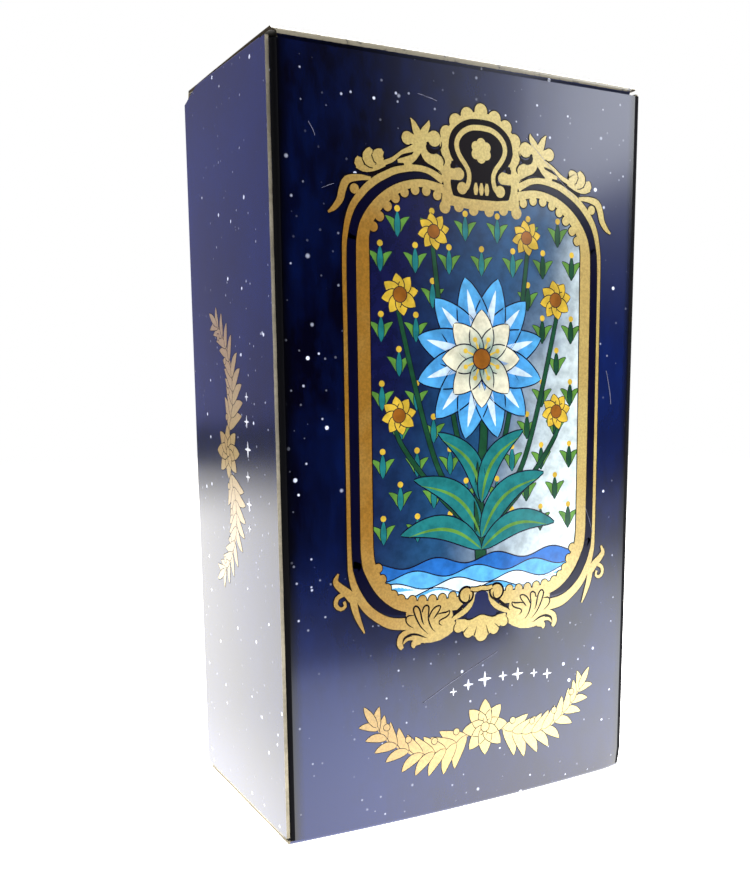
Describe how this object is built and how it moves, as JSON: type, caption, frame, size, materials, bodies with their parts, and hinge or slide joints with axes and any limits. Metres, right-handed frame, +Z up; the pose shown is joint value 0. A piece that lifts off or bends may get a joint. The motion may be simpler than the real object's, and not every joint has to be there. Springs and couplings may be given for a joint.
{
  "type": "tarot card deck",
  "caption": "Tarot card deck in an upright printed tuck-end carton: hinged lid with tuck flap and dust flaps, loose cards and a stapled guide booklet inside.",
  "frame": {"origin": "centre of the carton's footprint, on the surface that it stands on", "axes": "+Z up along the cards' long side, front panel facing -Y, +X to the right seen from the front"},
  "size_m": [0.0694, 0.0408, 0.125],
  "materials": {
    "printed_board": "gloss-laminated dark blue print on folding boxboard, bare grey-white inside",
    "card_stock": "satin coated card",
    "booklet_cover": "matt printed paper",
    "booklet_paper": "uncoated paper",
    "staple_wire": "bright wire"
  },
  "bodies": {
    "carton": {"front_panel": "printed_board", "right_panel": "printed_board", "back_panel": "printed_board", "left_panel": "printed_board", "glue_flap": "printed_board", "bottom_panel": "printed_board", "bottom_tuck_flap": "printed_board", "bottom_left_dust_flap": "printed_board", "bottom_right_dust_flap": "printed_board"},
    "lid": {"lid_panel": "printed_board"},
    "tuck_flap": {"lid_tuck_flap": "printed_board"},
    "left_dust_flap": {"top_left_dust_flap": "printed_board"},
    "right_dust_flap": {"top_right_dust_flap": "printed_board"},
    "deck": {"trump_card_01": "card_stock", "trump_card_02": "card_stock", "trump_card_03": "card_stock", "trump_card_04": "card_stock", "trump_card_05": "card_stock", "trump_card_06": "card_stock", "trump_card_07": "card_stock", "trump_card_08": "card_stock", "trump_card_09": "card_stock", "trump_card_10": "card_stock", "trump_card_11": "card_stock", "trump_card_12": "card_stock", "trump_card_13": "card_stock", "trump_card_14": "card_stock", "trump_card_15": "card_stock", "trump_card_16": "card_stock", "trump_card_17": "card_stock", "trump_card_18": "card_stock", "trump_card_19": "card_stock", "trump_card_20": "card_stock", "trump_card_21": "card_stock", "trump_card_22": "card_stock", "wands_cards": "card_stock", "cups_cards": "card_stock", "swords_cards": "card_stock", "coins_cards": "card_stock"},
    "booklet": {"booklet_cover": "booklet_cover", "booklet_sheets": "booklet_paper", "booklet_staples": "staple_wire"}
  },
  "joints": [
    {"name": "lid_fold", "type": "hinge", "parent": "carton", "child": "lid", "pos_m": [0, 0.02016, 0.1247], "axis": [-1, 0, 0], "range_deg": [0, 180]},
    {"name": "tuck_fold", "type": "hinge", "parent": "lid", "child": "tuck_flap", "pos_m": [0, -0.01946, 0.1247], "axis": [-1, 0, 0], "range_deg": [-36, 0]},
    {"name": "left_dust_fold", "type": "hinge", "parent": "carton", "child": "left_dust_flap", "pos_m": [-0.03445, 0, 0.12399], "axis": [0, -1, 0], "range_deg": [0, 90]},
    {"name": "right_dust_fold", "type": "hinge", "parent": "carton", "child": "right_dust_flap", "pos_m": [0.03445, 0, 0.12399], "axis": [0, 1, 0], "range_deg": [0, 90]},
    {"name": "deck_slide", "type": "slide", "parent": "carton", "child": "deck", "axis": [0, 0, 1], "range_m": [0, 0.0025]},
    {"name": "booklet_slide", "type": "slide", "parent": "carton", "child": "booklet", "axis": [0, 0, 1], "range_m": [0, 0.006]}
  ],
  "couplings": [
    {"joint": "tuck_fold", "follows": "lid_fold", "ratio": -0.2},
    {"joint": "left_dust_fold", "follows": "lid_fold", "ratio": 0.5},
    {"joint": "right_dust_fold", "follows": "lid_fold", "ratio": 0.5}
  ]
}
